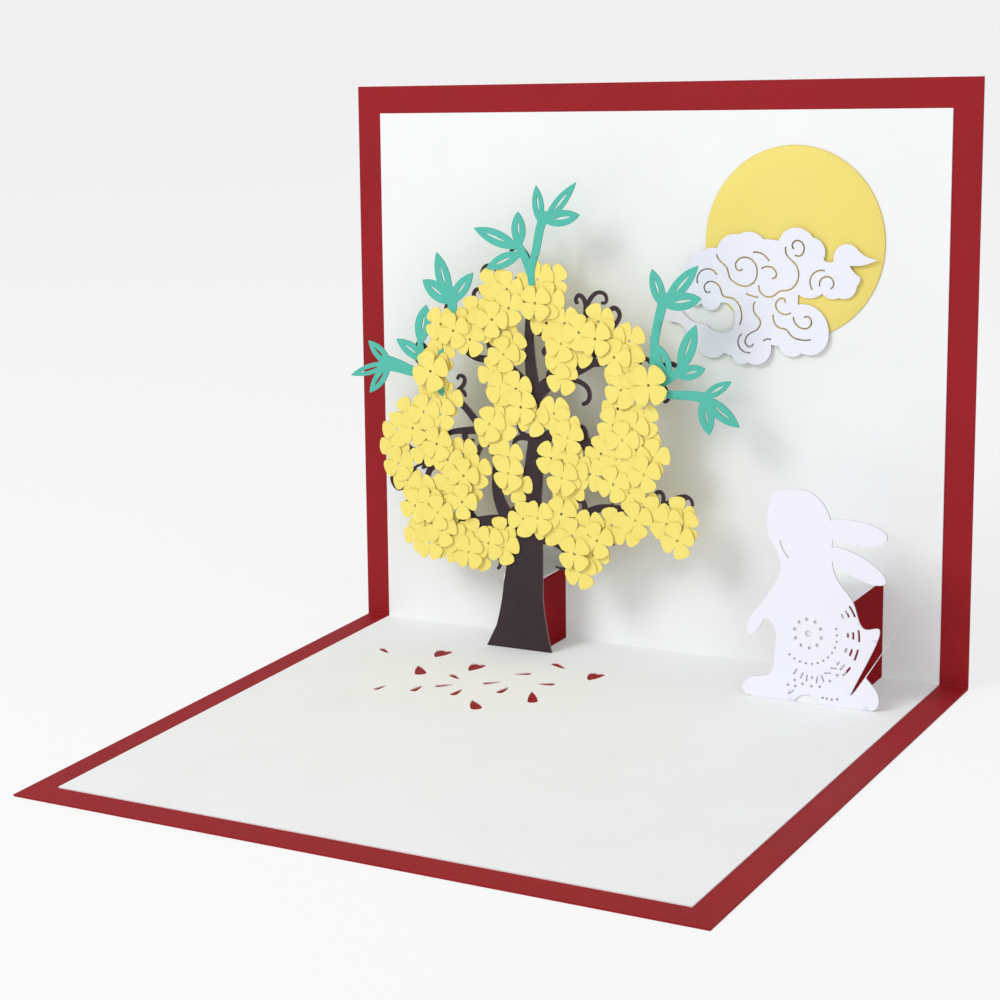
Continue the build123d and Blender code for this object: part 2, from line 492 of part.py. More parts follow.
# Blossom lattice: four-petalled blossoms cut joined as one sheet and glued over the boughs, each
# (across, up, the way its first petal points).
blossoms = [
    # Crown
    (-38.6, 98.8, 40), (-38.4, 93.4, 15), (-34.2, 97.6, 10), (-29.3, 97.3, 0), (-33.6, 92.6, 30),
    (-25.0, 100.4, 25), (-20.8, 100.2, 45), (-21.6, 95.0, 10), (-25.4, 94.2, 40),
    # Upper left
    (-45.2, 90.6, 10), (-42.3, 87.6, 40), (-47.8, 87.0, 20), (-45.6, 83.8, 35), (-53.6, 83.3, 5),
    (-54.8, 87.6, 40), (-50.6, 86.0, 25), (-55.2, 79.0, 30), (-57.2, 76.6, 15), (-38.6, 89.4, 0),
    (-36.2, 86.0, 25), (-33.0, 82.0, 40), (-35.4, 80.2, 10), (-38.9, 74.9, 8), (-36.4, 71.0, 35),
    (-31.6, 71.2, 20), (-34.0, 67.2, 5), (-30.0, 66.4, 40),
    # Upper right
    (-22.6, 89.0, 15), (-17.0, 89.2, 40), (-17.8, 83.8, 20), (-13.0, 82.2, 40), (-12.4, 87.0, 5),
    (-7.0, 90.0, 25), (-3.8, 86.0, 10), (2.2, 85.4, 30), (-2.0, 81.0, 0), (2.4, 80.0, 40),
    (-0.4, 77.0, 15), (-17.8, 74.9, 32), (-18.0, 79.4, 5), (-7.4, 85.6, 40),
    # Right
    (0.1, 72.5, 20), (4.6, 73.0, 40), (8.8, 74.5, 50), (-1.2, 67.6, 5), (-2.4, 63.2, 30),
    (3.4, 62.6, 15), (6.4, 65.0, 40), (0.6, 59.6, 5), (6.6, 59.0, 25), (9.4, 55.6, 10),
    (4.2, 54.0, 40), (7.0, 51.0, 20), (2.0, 50.0, 5), (-1.6, 54.4, 30), (-6.2, 55.4, 10),
    (-2.2, 47.6, 20), (2.3, 45.7, 0), (6.6, 42.4, 30), (9.6, 40.6, 15), (13.4, 38.4, 35),
    (16.4, 41.0, 5), (17.8, 38.2, 40), (16.6, 34.4, 20), (1.4, 36.0, 40), (-3.0, 36.6, 10),
    (4.4, 38.6, 20),
    # Middle
    (-26.6, 63.4, 20), (-20.2, 65.2, 42), (-17.0, 62.0, 10), (-16.4, 54.7, 8), (-15.8, 59.0, 30),
    (-21.0, 53.2, 40), (-9.4, 49.8, 38), (-14.6, 50.2, 5), (-15.9, 44.0, 12), (-17.4, 48.2, 35),
    (-21.9, 34.3, 20), (-29.6, 36.0, 5), (-25.0, 36.8, 40), (-18.0, 38.4, 30), (-14.6, 32.8, 10),
    (-9.6, 35.6, 38), (-6.9, 32.3, 20), (-8.4, 28.2, 5), (-12.1, 23.4, 28), (-13.6, 28.2, 40),
    (-38.8, 57.8, 12), (-34.4, 52.4, 30), (-31.8, 45.0, 8), (-34.0, 48.2, 38), (-35.6, 61.6, 35),
    (-39.8, 61.2, 15),
    # Left
    (-53.2, 67.0, 10), (-57.6, 70.2, 30), (-55.2, 63.0, 40), (-60.4, 63.4, 15), (-65.8, 62.4, 30),
    (-69.4, 58.0, 5), (-64.2, 58.6, 40), (-58.2, 56.6, 10), (-60.6, 52.9, 35), (-70.6, 53.0, 0),
    (-69.2, 48.4, 25), (-66.4, 44.0, 10), (-62.0, 41.6, 40), (-56.4, 54.8, 30), (-53.1, 50.6, 12),
    (-48.6, 52.4, 40), (-44.2, 48.0, 25), (-48.0, 46.6, 5), (-46.6, 43.6, 38), (-52.8, 45.4, 20),
    (-50.4, 40.8, 40), (-48.4, 39.4, 5), (-56.0, 41.0, 15), (-63.9, 37.0, 20), (-59.0, 38.0, 40),
    (-56.0, 35.8, 10), (-61.8, 32.8, 30), (-63.0, 29.0, 8), (-59.4, 27.0, 40), (-55.0, 31.2, 20),
    # Lower left
    (-52.2, 31.2, 5), (-53.6, 26.8, 30), (-49.2, 28.2, 15), (-46.6, 25.6, 40), (-43.8, 25.2, 28),
    (-45.2, 30.2, 10), (-40.4, 28.6, 38), (-35.8, 27.8, 15), (-37.0, 31.2, 5),
]
lattice_blossom = blossom()
with BuildPart() as blossom_lattice:
    with BuildSketch(standing_plane(tree_step_depth, tree_thickness)):
        with Locations([Location((x, y, 0), (0, 0, way)) for x, y, way in blossoms]):
            add(lattice_blossom)
        with Locations([(x, y) for x, y, way in blossoms]):
            Circle(blossom_eye, mode=Mode.SUBTRACT)
    extrude(amount=lattice_thickness)
blossom_lattice.part.label = "blossom_lattice"

# Sprigs: each a stem with slit leaves cut as one piece. Stems are strips, leaves run from base
# to tip with their width.
sprigs = {
    "sprig_top": (
        [
            ([(-26.6, 98.8), (-27.0, 102.6), (-25.4, 108.6), (-24.4, 113.4), (-22.8, 117.0)], 2.0, 2.6),
            ([(-27.2, 101.6), (-28.6, 105.4), (-31.2, 109.6)], 2.2, 2.4),
        ],
        [
            ((-24.2, 114.6), (-25.4, 124.9), 3.4), ((-23.6, 114.8), (-13.4, 125.8), 3.2),
            ((-23.4, 115.6), (-12.4, 117.4), 4.2), ((-30.4, 108.4), (-44.4, 113.6), 4.2),
            ((-30.6, 108.6), (-31.0, 118.0), 4.2), ((-29.6, 107.4), (-40.8, 102.9), 3.8),
        ],
    ),
    "sprig_upper_left": (
        [([(-51.9, 89.2), (-51.3, 92.0), (-52.0, 96.4)], 2.2, 3.4)],
        [
            ((-52.0, 93.6), (-56.0, 106.9), 4.4), ((-51.4, 93.2), (-60.4, 99.4), 4.8),
            ((-52.4, 92.8), (-44.8, 101.7), 4.0),
        ],
    ),
    "sprig_left": (
        [
            ([(-56.8, 74.4), (-62.6, 74.0), (-67.6, 75.3), (-72.6, 76.2)], 1.4, 4.4),
            ([(-57.4, 75.0), (-60.4, 78.4), (-61.5, 83.6)], 1.6, 1.8),
        ],
        [
            ((-70.8, 75.4), (-77.9, 82.2), 3.6), ((-70.8, 76.4), (-84.0, 72.3), 3.0),
            ((-71.0, 76.4), (-78.0, 67.7), 3.6), ((-61.6, 81.8), (-59.5, 92.6), 4.8),
            ((-59.4, 77.2), (-69.0, 83.0), 4.0), ((-57.6, 75.2), (-54.2, 81.2), 1.8),
            ((-57.2, 74.8), (-54.6, 67.8), 2.6),
        ],
    ),
    "sprig_right": (
        [
            ([(9.0, 73.6), (9.3, 80.0), (9.8, 86.0), (11.2, 92.4), (12.6, 97.0)], 1.8, 2.8),
            ([(9.0, 74.0), (13.0, 75.5), (17.4, 79.4)], 1.6, 2.2),
            ([(8.8, 73.6), (15.0, 72.2), (21.0, 72.3), (25.0, 71.7)], 1.7, 2.8),
            ([(9.4, 85.0), (8.8, 86.7)], 1.6, 0.7),
        ],
        [
            ((12.2, 94.2), (8.9, 104.1), 4.0), ((12.4, 95.2), (22.4, 105.4), 4.0),
            ((11.6, 95.2), (23.3, 97.1), 4.6), ((10.0, 85.2), (14.5, 76.4), 4.0),
            ((16.8, 78.0), (21.7, 90.4), 4.6), ((15.8, 77.0), (24.4, 79.4), 3.8),
            ((23.0, 71.6), (31.8, 76.6), 3.0), ((23.8, 72.4), (25.4, 62.5), 4.4),
            ((23.2, 72.4), (34.0, 65.0), 4.2),
        ],
    ),
}
sprig_plane = standing_plane(tree_step_depth, tree_thickness + lattice_thickness)
sprig_parts = {}
for name, (stems, leaves) in sprigs.items():
    with BuildPart() as sprig:
        with BuildSketch(sprig_plane):
            add([strip(points, start, end) for points, start, end in stems])
            add([leaf(base, tip, width) for base, tip, width in leaves])
        extrude(amount=sprig_thickness)
    sprig.part.label = name
    sprig_parts[name] = sprig.part

# Single blossoms glued over the ends of the two side sprigs.
flower_plane = standing_plane(
    tree_step_depth, tree_thickness + lattice_thickness + sprig_thickness
)
flowers = {"flower_left": (-57.4, 74.8, 20), "flower_right": (8.8, 74.5, 50)}
flower_parts = {}
for name, (x, y, way) in flowers.items():
    with BuildPart() as flower:
        with BuildSketch(flower_plane):
            with Locations(Location((x, y, 0), (0, 0, way))):
                add(lattice_blossom)
            with Locations((x, y)):
                Circle(blossom_eye, mode=Mode.SUBTRACT)
        extrude(amount=flower_thickness)
    flower.part.label = name
    flower_parts[name] = flower.part

# Rabbit: one white sheet glued to the front of its step, pricked with rings and rows of cuts.
rabbit_eye = (57.5, 17.6)
with BuildPart() as rabbit:
    with BuildSketch(standing_plane(rabbit_step_depth, 0)):
        # Head, chest, reaching paw, haunch and tail
        with BuildLine():
            Line((54.0, 0.0), (42.6, 0.0))
            Spline(
                (42.6, 0.0), (39.9, 2.2), (42.2, 4.7), (47.4, 6.4),
                (48.6, 12.0), (48.2, 18.6), (46.4, 20.2), (43.8, 17.0), (41.6, 15.8),
                (41.0, 17.8), (43.6, 22.4), (47.2, 27.4), (49.6, 32.0), (49.4, 36.4),
                (46.6, 41.0), (45.9, 46.8), (47.4, 51.6), (52.0, 53.1), (57.4, 52.6),
                (61.4, 49.0), (63.2, 43.4), (63.2, 37.4), (65.0, 31.6), (69.4, 25.8),
                (72.9, 20.2), (74.4, 15.0), (74.0, 10.6), (72.7, 8.2),
                tangents=((-1, 0), (-0.5, -0.8)),
            )
            Spline(
                (72.7, 8.2), (74.6, 6.2), (76.1, 3.6), (75.9, 1.3), (73.6, 0.0),
                tangents=((0.6, -0.8), (-1, 0)),
            )
            Line((73.6, 0.0), (60.6, 0.0))
            ThreePointArc((60.6, 0.0), (57.3, 2.1), (54.0, 0.0))
        make_face()
        # Ears
        with Locations(Location((68.6, 43.6, 0), (0, 0, -4))):
            Ellipse(8.8, 3.1)
        with Locations(Location((69.6, 35.6, 0), (0, 0, -24))):
            Ellipse(8.4, 2.7)
        # The eye of the ring, the hole in the tail and the line of the cheek
        with Locations(rabbit_eye):
            Circle(0.8, mode=Mode.SUBTRACT)
        with Locations((70.8, 3.6)):
            Circle(1.5, mode=Mode.SUBTRACT)
        cheek = strip([(49.7, 40.2), (50.3, 38.4), (52.0, 36.2)], slit_width, slit_width)
        add(cheek, mode=Mode.SUBTRACT)
        # Ring of holes and the arc of dots round it
        with Locations(rabbit_eye):
            with PolarLocations(3.6, 10, start_angle=24):
                Circle(0.45, mode=Mode.SUBTRACT)
            with PolarLocations(7.6, 13, start_angle=-130, angular_range=157):
                Circle(0.28, mode=Mode.SUBTRACT)
        # Nested dashes fanned round the haunch
        for way in (30, 3, -18, -40):
            for reach, span in ((10.4, 5), (11.8, 8), (13.3, 12)):
                dash = [
                    Vector(*rabbit_eye) + Vector(reach, 0).rotate(Axis.Z, way + turn)
                    for turn in (-span / 2, 0, span / 2)
                ]
                add(strip([(v.X, v.Y) for v in dash], dash_width, dash_width), mode=Mode.SUBTRACT)
        # Dashes and dots along the foot
        for x, y, way in (
            (54.2, 7.6, 58), (56.0, 6.8, 66), (57.3, 6.3, 84), (60.0, 6.2, 78),
            (61.5, 6.6, 112), (62.8, 8.2, 5), (64.4, 9.6, 3), (53.1, 2.2, 35),
        ):
            with Locations(Location((x, y, 0), (0, 0, way))):
                SlotOverall(1.8, slit_width, mode=Mode.SUBTRACT)
        with Locations(
            (65.3, 8.0), (63.4, 6.3), (60.8, 4.5), (58.6, 4.4), (58.7, 6.6), (56.2, 4.7),
            (54.1, 5.4), (54.3, 3.9), (52.3, 4.0), (61.6, 1.8), (62.7, 1.7), (64.0, 1.6),
            (65.4, 1.9),
        ):
            Circle(0.35, mode=Mode.SUBTRACT)
    extrude(amount=rabbit_thickness)
rabbit.part.label = "rabbit"

os.makedirs("parts", exist_ok=True)
export_step(outer_card.part, "parts/outer_card.step")
export_step(inner_sheet.part, "parts/inner_sheet.step")
export_step(moon.part, "parts/moon.step")
export_step(cloud.part, "parts/cloud.step")
export_step(tree.part, "parts/tree.step")
export_step(blossom_lattice.part, "parts/blossom_lattice.step")
export_step(sprig_parts["sprig_top"], "parts/sprig_top.step")
export_step(sprig_parts["sprig_upper_left"], "parts/sprig_upper_left.step")
export_step(sprig_parts["sprig_left"], "parts/sprig_left.step")
export_step(sprig_parts["sprig_right"], "parts/sprig_right.step")
export_step(flower_parts["flower_left"], "parts/flower_left.step")
export_step(flower_parts["flower_right"], "parts/flower_right.step")
export_step(rabbit.part, "parts/rabbit.step")
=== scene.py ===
import math

import bmesh
import bpy
import numpy as np
from mathutils import Matrix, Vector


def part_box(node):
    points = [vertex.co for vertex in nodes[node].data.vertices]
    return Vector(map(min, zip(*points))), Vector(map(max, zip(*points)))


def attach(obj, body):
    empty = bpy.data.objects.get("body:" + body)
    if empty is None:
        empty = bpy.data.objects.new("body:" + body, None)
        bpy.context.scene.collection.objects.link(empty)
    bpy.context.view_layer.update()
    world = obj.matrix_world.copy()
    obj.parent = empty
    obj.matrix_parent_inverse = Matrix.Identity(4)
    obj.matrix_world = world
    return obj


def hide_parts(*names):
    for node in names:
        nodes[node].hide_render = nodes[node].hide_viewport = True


# Pop up card standing open: a red outer card and a white inner sheet share one fold, and a blossom
# tree and a rabbit stand on two steps folded up out of the white sheet, under a moon and a cloud.
# Metres. +X runs along the fold, -Y is the front of the bottom leaf, +Z is up.

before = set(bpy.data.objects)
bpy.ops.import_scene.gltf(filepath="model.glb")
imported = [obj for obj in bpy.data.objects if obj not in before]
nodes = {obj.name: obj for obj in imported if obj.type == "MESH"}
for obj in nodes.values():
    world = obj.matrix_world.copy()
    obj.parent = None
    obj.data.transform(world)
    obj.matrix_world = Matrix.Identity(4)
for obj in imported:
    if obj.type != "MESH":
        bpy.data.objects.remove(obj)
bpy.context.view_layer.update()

MM = 0.001
ACROSS = np.array([1.0, 0.0, 0.0])

# Finishing of every mesh
merge_distance = 1e-7
crease_angle = 32               # degrees; a flatter edge is shaded smooth

# Blossoms: reach is from the eye to a petal's tip
blossom_reach = 4.9 * MM
blossom_eye = 0.4 * MM
blossom_paper = 0.2 * MM
blossom_step = 0.28 * MM        # from one layer of overlapping petals to the next
notch_share = 0.26              # of the reach, from the eye to the notch between two petals
petal_cup = 0.16 * MM
flower_reach_share = 1.15       # of a blossom's reach, for the two single flowers
flower_gap = 0.3 * MM           # the sprig's paper between a single flower and the blossoms

# Bends
cloud_curl = 0.55 * MM
crown_side_curl = 1.6 * MM      # forward, one crown_reach to the side of the stem
crown_lean = 0.7 * MM           # back, at the stem
rabbit_lean = 1.2 * MM


def node_points(node):
    """Every corner of a CAD node's mesh, a row each."""
    mesh = nodes[node].data
    points = np.empty(len(mesh.vertices) * 3, np.float32)
    mesh.vertices.foreach_get("co", points)
    return points.reshape(-1, 3).astype(float)


class Standing:
    """The plane of a standing sheet: across along +X, up along the sheet from its lowest point and
    lift out of its back face towards the viewer."""

    def __init__(self, node):
        points = node_points(node)
        thin = np.linalg.svd(points - points.mean(0), full_matrices=False)[2][2]
        self.front = np.array([0.0, thin[1], thin[2]]) * -np.sign(thin[1])
        self.front /= np.linalg.norm(self.front)
        self.up = np.cross(self.front, ACROSS)
        self.foot = (points @ self.up).min()
        self.back = (points @ self.front).min()
        self.thickness = np.ptp(points @ self.front)

    def measure(self, points):
        """Across, up and lift of points given in the frame."""
        return points @ ACROSS, points @ self.up - self.foot, points @ self.front - self.back

    def place(self, across, up, lift):
        """Points in the frame from across, up and lift."""
        across, up, lift = np.broadcast_arrays(across, up, lift)
        return (
            across[..., None] * ACROSS
            + (up + self.foot)[..., None] * self.up
            + (lift + self.back)[..., None] * self.front
        )


tree_plane = Standing("tree")
moon_plane = Standing("moon")
cloud_plane = Standing("cloud")
rabbit_plane = Standing("rabbit")


# ---------------------------------------------------------------------------------------------
# Meshes


def new_piece(name, mesh, material, stands_for=()):
    """Puts a finished mesh into the scene as a piece that rides on the one body."""
    piece = bpy.data.objects.new(name, mesh)
    bpy.context.scene.collection.objects.link(piece)
    mesh.materials.clear()
    mesh.materials.append(material)
    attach(piece, "root")
    if stands_for:
        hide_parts(*stands_for)
    return piece


def quad_mesh(name, points, quads, cut_edge=None):
    """A mesh from rows of points and rows of four corners; cut_edge says which quads are the
    paper's cut edge."""
    mesh = bpy.data.meshes.new(name)
    mesh.vertices.add(len(points))
    mesh.vertices.foreach_set("co", np.ascontiguousarray(points, np.float32).ravel())
    mesh.loops.add(quads.size)
    mesh.loops.foreach_set("vertex_index", quads.astype(np.int32).ravel())
    mesh.polygons.add(len(quads))
    mesh.polygons.foreach_set("loop_start", np.arange(0, quads.size, 4, dtype=np.int32))
    mesh.update(calc_edges=True)
    mesh.validate()
    if cut_edge is not None:
        mark = mesh.attributes.new("cut_edge", "FLOAT", "FACE")
        mark.data.foreach_set("value", cut_edge.astype(np.float32))
    soften(mesh)
    return mesh


def soften(mesh):
    """Smooth shading with every sharp edge kept sharp."""
    mesh.polygons.foreach_set("use_smooth", np.ones(len(mesh.polygons), bool))
    mesh.set_sharp_from_angle(angle=math.radians(crease_angle))


def reworked(name, node, plane, spacing, lift_of):
    """A CAD sheet's copy with its triangles joined, cut along a square mesh of lines spacing apart
    so that it can bend, and then moved out of its plane by lift_of(across, up)."""
    mesh = nodes[node].data.copy()
    mesh.name = name
    work = bmesh.new()
    work.from_mesh(mesh)
    bmesh.ops.remove_doubles(work, verts=work.verts, dist=merge_distance)
    across, up, lift = plane.measure(node_points(node))
    for axis, low, high, offset in (
        (ACROSS, across.min(), across.max(), 0.0),
        (plane.up, up.min(), up.max(), plane.foot),
    ):
        for line in np.arange(low + spacing, high, spacing):
            bmesh.ops.bisect_plane(
                work,
                geom=work.verts[:] + work.edges[:] + work.faces[:],
                dist=merge_distance,
                plane_co=axis * (line + offset),
                plane_no=axis,
            )
    work.to_mesh(mesh)
    work.free()
    points = np.empty(len(mesh.vertices) * 3, np.float32)
    mesh.vertices.foreach_get("co", points)
    points = points.reshape(-1, 3).astype(float)
    across, up, lift = plane.measure(points)
    normals = np.empty(len(mesh.polygons) * 3, np.float32)
    mesh.polygons.foreach_get("normal", normals)
    cut_edge = np.abs(normals.reshape(-1, 3) @ plane.front) < 0.5
    points = plane.place(across, up, lift + lift_of(across, up))
    mesh.vertices.foreach_set("co", points.astype(np.float32).ravel())
    mark = mesh.attributes.new("cut_edge", "FLOAT", "FACE")
    mark.data.foreach_set("value", cut_edge.astype(np.float32))
    mesh.update()
    soften(mesh)
    return mesh


def smooth_step(value):
    """0 below 0, 1 above 1 and an even S between them."""
    share = np.clip(value, 0, 1)
    return share * share * (3 - 2 * share)


# ---------------------------------------------------------------------------------------------
# Materials


class Socket:
    """A node's output that adds a Math node wherever it is used in a sum."""

    def __init__(self, paint, socket):
        self.paint = paint
        self.socket = socket

    def sum(self, operation, first, second):
        return self.paint.node(
            "ShaderNodeMath", {"operation": operation}, {0: first, 1: second}
        )

    def __add__(self, other):
        return self.sum("ADD", self, other)

    def __radd__(self, other):
        return self.sum("ADD", other, self)

    def __sub__(self, other):
        return self.sum("SUBTRACT", self, other)

    def __rsub__(self, other):
        return self.sum("SUBTRACT", other, self)

    def __mul__(self, other):
        return self.sum("MULTIPLY", self, other)

    def __rmul__(self, other):
        return self.sum("MULTIPLY", other, self)


class Paint:
    """A material's node tree."""

    def __init__(self, name):
        self.material = bpy.data.materials.new(name)
        self.material.use_nodes = True
        self.tree = self.material.node_tree
        self.tree.nodes.clear()

    def node(self, kind, settings=None, inputs=None, output=0):
        """Adds a node: its settings first, then the values or links of its sockets."""
        made = self.tree.nodes.new(kind)
        for key, value in (settings or {}).items():
            setattr(made, key, value)
        for key, value in (inputs or {}).items():
            if isinstance(value, Socket):
                self.tree.links.new(value.socket, made.inputs[key])
            else:
                made.inputs[key].default_value = value
        return Socket(self, made.outputs[output]) if made.outputs else None

    def mix(self, share, first, second):
        """A colour between two colours."""
        settings = {"data_type": "RGBA", "clamp_factor": True}
        return self.node("ShaderNodeMix", settings, {0: share, 6: first, 7: second}, output=2)

    def noise(self, vector, scale, detail, roughness=0.5):
        """Noise from 0 to 1."""
        inputs = {"Vector": vector, "Scale": scale, "Detail": detail, "Roughness": roughness}
        return self.node("ShaderNodeTexNoise", {"noise_dimensions": "3D"}, inputs)


def colour(code):
    """A colour from its six figure code, as Blender's linear light."""
    levels = np.array([int(code[i : i + 2], 16) for i in (0, 2, 4)]) / 255
    levels = np.where(levels <= 0.04045, levels / 12.92, ((levels + 0.055) / 1.055) ** 2.4)
    return (*levels.tolist(), 1.0)


def paper(name, face, shade, cut, roughness=0.82, fibre=1.0, mottle=0.5, specular=0.25):
    """Paper: a face colour that wanders to its shade in soft patches and finer flecks, a cut edge
    of its own colour (on the rabbit a grey that is painted shade for its holes), and a bump of short
    fibres lying both ways over a soft pulp grain."""
    paint = Paint(name)
    place = paint.node("ShaderNodeTexCoord", output="Object")
    patches = paint.noise(place, 45, 3)
    flecks = paint.noise(place, 1900, 2)
    grain = paint.noise(place, 5200, 3, 0.6)
    long_way = paint.node("ShaderNodeMapping", None, {"Vector": place, "Scale": (900, 5200, 5200)})
    cross_way = paint.node("ShaderNodeMapping", None, {"Vector": place, "Scale": (5200, 5200, 900)})
    fibres = paint.noise(long_way, 1, 2) + paint.noise(cross_way, 1, 2)
    wander = (patches - 0.5) * (2.2 * mottle) + (flecks - 0.5) * (1.5 * mottle) + 0.35 * mottle
    body = paint.mix(wander, face, shade)
    edge = paint.node("ShaderNodeAttribute", {"attribute_name": "cut_edge"}, output="Fac")
    tone = paint.mix(edge, body, cut)
    height = grain * 0.4 + fibres * 0.6
    bump = paint.node(
        "ShaderNodeBump", None, {"Strength": 0.35 * fibre, "Distance": 0.03 * MM, "Height": height}
    )
    inputs = {
        "Base Color": tone,
        "Roughness": roughness + (flecks - 0.5) * 0.12,
        "Specular IOR Level": specular,
        "Normal": bump,
    }
    surface = paint.node("ShaderNodeBsdfPrincipled", None, inputs)
    paint.node("ShaderNodeOutputMaterial", None, {"Surface": surface})
    return paint.material


red_card = paper("red_card", colour("9A111C"), colour("8A0F18"), colour("7C1018"), 0.62)
white_sheet = paper("white_sheet", colour("F4F6F7"), colour("EFEFEE"), colour("DCD8D0"), 0.85)
moon_yellow = paper("moon_yellow", colour("F2E07C"), colour("EDD970"), colour("CDB75A"), 0.8)
cloud_white = paper("cloud_white", colour("F0F1FC"), colour("EBECFA"), colour("A08A6E"), 0.8)
brown_paper = paper("brown_paper", colour("3E3236"), colour("33292C"), colour("8C7A7C"), 0.85, 1.6, 0.9)
blossom_yellow = paper("blossom_yellow", colour("F8E77C"), colour("F0DB6C"), colour("C0A040"), 0.8)
sprig_green = paper("sprig_green", colour("58BFAD"), colour("50B3A1"), colour("3E8F80"), 0.75)
# The rabbit's grey cut edge (B9B4BE) is painted shade: it darkens the walls of its holes and its
# outline to stand in for the shade inside the holes.
rabbit_white = paper("rabbit_white", colour("F1F1FC"), colour("EDEDF9"), colour("B9B4BE"), 0.8)


# ---------------------------------------------------------------------------------------------
# Outer card and inner sheet, whose CAD shapes stay and take their papers

nodes["outer_card"].data.materials.clear()
nodes["outer_card"].data.materials.append(red_card)
nodes["inner_sheet"].data.materials.clear()
nodes["inner_sheet"].data.materials.append(white_sheet)


# ---------------------------------------------------------------------------------------------
# Moon and cloud


def moon_surface():
    """The disc's outline (distance from its middle and lift) from the middle of its back, round
    its rim and in to the middle of its front, turned a full circle about the middle."""
    low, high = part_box("moon")
    radius = (high.x - low.x) / 2
    middle_across = (high.x + low.x) / 2
    middle_up = radius
    thick = moon_plane.thickness
    outline = np.array(
        [
            (0.002, 0), (0.25, 0), (0.5, 0), (0.75, 0), (1 - 0.004, 0), (1, 0.2), (1, 0.8),
            (1 - 0.004, 1), (0.75, 1), (0.5, 1), (0.25, 1), (0.002, 1),
        ]
    )
    way = np.linspace(0, 2 * math.pi, 160, endpoint=False)
    out = outline[:, 0, None] * radius
    points = moon_plane.place(
        middle_across + out * np.cos(way),
        middle_up + out * np.sin(way),
        outline[:, 1, None] * thick + 0 * way,
    )
    rows, columns = points.shape[:2]
    index = np.arange(rows * columns).reshape(rows, columns)
    after = np.roll(index, -1, 1)
    quads = np.stack([index[:-1], index[1:], after[1:], after[:-1]], -1).reshape(-1, 4)
    rim = np.zeros((rows - 1, columns))
    rim[4:7] = 1
    mesh = quad_mesh("moon_disc", points.reshape(-1, 3), quads, rim.ravel())
    close_holes(mesh)
    return mesh


def close_holes(mesh):
    """Closes the small ring left at the middle of each side."""
    work = bmesh.new()
    work.from_mesh(mesh)
    bmesh.ops.holes_fill(work, edges=work.edges, sides=400)
    bmesh.ops.recalc_face_normals(work, faces=work.faces)
    work.to_mesh(mesh)
    work.free()
    soften(mesh)


def cloud_lift(across, up):
    """The cloud is stuck down in its middle and its lobes curl up by the square of how far out
    they are, with a ripple from lobe to lobe."""
    low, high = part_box("cloud")
    middle = (low.x + high.x) / 2
    half_across = (high.x - low.x) / 2
    half_up = (high.z - low.z) / 2
    out = ((across - middle) / half_across) ** 2 + ((up - half_up) / half_up) ** 2
    ripple = 1 + 0.5 * np.sin(across / (4.1 * MM)) * np.cos(up / (3.7 * MM))
    return cloud_curl * np.clip(out, 0, 1.6) * ripple


new_piece("moon_disc", moon_surface(), moon_yellow, ["moon"])
new_piece(
    "cloud_swirls",
    reworked("cloud_swirls", "cloud", cloud_plane, 1.5 * MM, cloud_lift),
    cloud_white,
    ["cloud"],
)


# ---------------------------------------------------------------------------------------------
# Tree, blossoms and sprigs

stem_across = -27.0 * MM
crown_reach = 45.0 * MM


def crown_sway(across, up):
    """The tree stands flat up to its step, and above it the crown leans back a little and its
    sides curl forward by the square of how far they are from the stem."""
    height = smooth_step((up - 22 * MM) / (100 * MM))
    aside = (across - stem_across) / crown_reach
    return height * (crown_side_curl * aside**2 - crown_lean)


new_piece(
    "tree_boughs",
    reworked("tree_boughs", "tree", tree_plane, 4 * MM, crown_sway),
    brown_paper,
    ["tree"],
)

